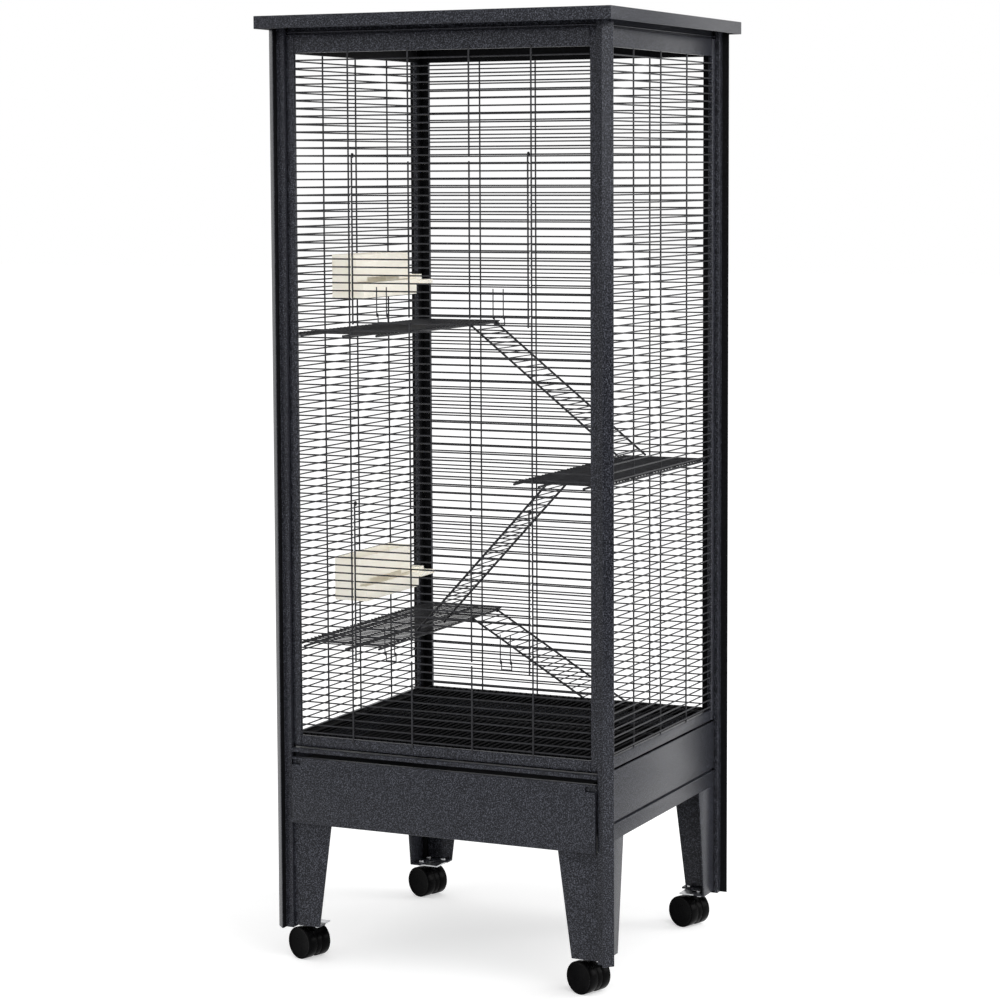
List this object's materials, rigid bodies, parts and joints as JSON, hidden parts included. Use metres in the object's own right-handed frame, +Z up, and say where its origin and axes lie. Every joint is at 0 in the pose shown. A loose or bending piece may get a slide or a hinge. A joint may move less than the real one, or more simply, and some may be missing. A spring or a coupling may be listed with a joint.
{
  "type": "chinchilla cage",
  "caption": "Tall wire chinchilla cage on casters with flap doors, wire platforms joined by ramps, hanging feeders and a litter drawer under a floor grate.",
  "frame": {"origin": "on the floor under the middle of the roof, which is the middle of the bounding box", "axes": "+Z up, +X to the right seen from the front, -Y towards the front with the doors and the drawer"},
  "size_m": [0.634, 0.584, 1.5835],
  "materials": {
    "speckled_coat": "speckled anthracite powder coat on steel",
    "cream_plastic": "satin moulded",
    "black_plastic": "satin moulded",
    "bright_steel": "zinc plated"
  },
  "bodies": {
    "cage": {"caster_bolts": "bright_steel", "caster_plates": "bright_steel", "corner_legs": "speckled_coat", "door_hinge_wires": "speckled_coat", "drawer_runners": "speckled_coat", "floor_grate_bars": "speckled_coat", "floor_grate_wires": "speckled_coat", "front_cross_wires": "speckled_coat", "front_panel_rails": "speckled_coat", "front_panel_stiles": "speckled_coat", "front_sill": "speckled_coat", "front_upright_wires": "speckled_coat", "grate_ledges": "speckled_coat", "left_cross_wires": "speckled_coat", "left_panel_rails": "speckled_coat", "left_panel_stiles": "speckled_coat", "left_skirt": "speckled_coat", "left_upright_wires": "speckled_coat", "lower_platform_wires": "speckled_coat", "middle_platform_wires": "speckled_coat", "platform_rods": "speckled_coat", "post_front_left": "speckled_coat", "post_front_right": "speckled_coat", "post_rear_left": "speckled_coat", "post_rear_right": "speckled_coat", "rear_cross_wires": "speckled_coat", "rear_panel_rails": "speckled_coat", "rear_panel_stiles": "speckled_coat", "rear_skirt": "speckled_coat", "rear_upright_wires": "speckled_coat", "right_cross_wires": "speckled_coat", "right_panel_rails": "speckled_coat", "right_panel_stiles": "speckled_coat", "right_skirt": "speckled_coat", "right_upright_wires": "speckled_coat", "roof_panel": "speckled_coat", "upper_platform_wires": "speckled_coat"},
    "upper_door": {"upper_door_cross_wires": "speckled_coat", "upper_door_edge_wires": "speckled_coat"},
    "upper_door_clip_left": {"upper_door_clip_left": "speckled_coat"},
    "upper_door_clip_right": {"upper_door_clip_right": "speckled_coat"},
    "lower_door": {"lower_door_cross_wires": "speckled_coat", "lower_door_edge_wires": "speckled_coat"},
    "lower_door_clip_left": {"lower_door_clip_left": "speckled_coat"},
    "lower_door_clip_right": {"lower_door_clip_right": "speckled_coat"},
    "drawer": {"drawer_front": "speckled_coat", "drawer_tray": "speckled_coat"},
    "upper_ramp": {"upper_ramp": "speckled_coat"},
    "middle_ramp": {"middle_ramp": "speckled_coat"},
    "lower_ramp": {"lower_ramp": "speckled_coat"},
    "upper_feeder": {"upper_feeder": "cream_plastic"},
    "lower_feeder": {"lower_feeder": "cream_plastic"},
    "caster_hood_front_left": {"caster_hood_front_left": "black_plastic"},
    "caster_wheels_front_left": {"caster_wheels_front_left": "black_plastic"},
    "caster_hood_front_right": {"caster_hood_front_right": "black_plastic"},
    "caster_wheels_front_right": {"caster_wheels_front_right": "black_plastic"},
    "caster_hood_rear_left": {"caster_hood_rear_left": "black_plastic"},
    "caster_wheels_rear_left": {"caster_wheels_rear_left": "black_plastic"},
    "caster_hood_rear_right": {"caster_hood_rear_right": "black_plastic"},
    "caster_wheels_rear_right": {"caster_wheels_rear_right": "black_plastic"}
  },
  "joints": [
    {"name": "upper_door_hinge", "type": "hinge", "parent": "cage", "child": "upper_door", "pos_m": [0, -0.25125, 1.3555], "axis": [-1, 0, 0], "range_deg": [0, 100]},
    {"name": "upper_door_clip_left_turn", "type": "hinge", "parent": "upper_door", "child": "upper_door_clip_left", "pos_m": [-0.105, -0.25135, 1.0955], "axis": [1, 0, 0], "range_deg": [0, 90]},
    {"name": "upper_door_clip_right_turn", "type": "hinge", "parent": "upper_door", "child": "upper_door_clip_right", "pos_m": [0.105, -0.25135, 1.0955], "axis": [1, 0, 0], "range_deg": [0, 90]},
    {"name": "lower_door_hinge", "type": "hinge", "parent": "cage", "child": "lower_door", "pos_m": [0, -0.25125, 0.7835], "axis": [-1, 0, 0], "range_deg": [0, 100]},
    {"name": "lower_door_clip_left_turn", "type": "hinge", "parent": "lower_door", "child": "lower_door_clip_left", "pos_m": [-0.095, -0.25135, 0.5365], "axis": [1, 0, 0], "range_deg": [0, 90]},
    {"name": "lower_door_clip_right_turn", "type": "hinge", "parent": "lower_door", "child": "lower_door_clip_right", "pos_m": [0.115, -0.25135, 0.5365], "axis": [1, 0, 0], "range_deg": [0, 90]},
    {"name": "drawer_slide", "type": "slide", "parent": "cage", "child": "drawer", "axis": [0, -1, 0], "range_m": [0, 0.4]},
    {"name": "upper_ramp_hinge", "type": "hinge", "parent": "cage", "child": "upper_ramp", "pos_m": [-0.124, 0, 1.05975], "axis": [0, -1, 0], "range_deg": [0, 35]},
    {"name": "middle_ramp_hinge", "type": "hinge", "parent": "cage", "child": "middle_ramp", "pos_m": [0.124, 0, 0.82575], "axis": [0, 1, 0], "range_deg": [0, 45]},
    {"name": "lower_ramp_hinge", "type": "hinge", "parent": "cage", "child": "lower_ramp", "pos_m": [-0.124, 0, 0.53975], "axis": [0, -1, 0], "range_deg": [0, 30]},
    {"name": "upper_feeder_lift", "type": "slide", "parent": "cage", "child": "upper_feeder", "axis": [0, 0, 1], "range_m": [0, 0.0075]},
    {"name": "lower_feeder_lift", "type": "slide", "parent": "cage", "child": "lower_feeder", "axis": [0, 0, 1], "range_m": [0, 0.0075]},
    {"name": "swivel_front_left", "type": "hinge", "parent": "cage", "child": "caster_hood_front_left", "pos_m": [-0.258, -0.226, 0.05], "axis": [0, 0, 1], "continuous": true},
    {"name": "wheel_spin_front_left", "type": "hinge", "parent": "caster_hood_front_left", "child": "caster_wheels_front_left", "pos_m": [-0.26928, -0.2219, 0.0275], "axis": [0.342, 0.9397, 0], "continuous": true},
    {"name": "swivel_front_right", "type": "hinge", "parent": "cage", "child": "caster_hood_front_right", "pos_m": [0.258, -0.226, 0.05], "axis": [0, 0, 1], "continuous": true},
    {"name": "wheel_spin_front_right", "type": "hinge", "parent": "caster_hood_front_right", "child": "caster_wheels_front_right", "pos_m": [0.24672, -0.2219, 0.0275], "axis": [0.342, 0.9397, 0], "continuous": true},
    {"name": "swivel_rear_left", "type": "hinge", "parent": "cage", "child": "caster_hood_rear_left", "pos_m": [-0.258, 0.226, 0.05], "axis": [0, 0, 1], "continuous": true},
    {"name": "wheel_spin_rear_left", "type": "hinge", "parent": "caster_hood_rear_left", "child": "caster_wheels_rear_left", "pos_m": [-0.26928, 0.2301, 0.0275], "axis": [0.342, 0.9397, 0], "continuous": true},
    {"name": "swivel_rear_right", "type": "hinge", "parent": "cage", "child": "caster_hood_rear_right", "pos_m": [0.258, 0.226, 0.05], "axis": [0, 0, 1], "continuous": true},
    {"name": "wheel_spin_rear_right", "type": "hinge", "parent": "caster_hood_rear_right", "child": "caster_wheels_rear_right", "pos_m": [0.24672, 0.2301, 0.0275], "axis": [0.342, 0.9397, 0], "continuous": true}
  ]
}
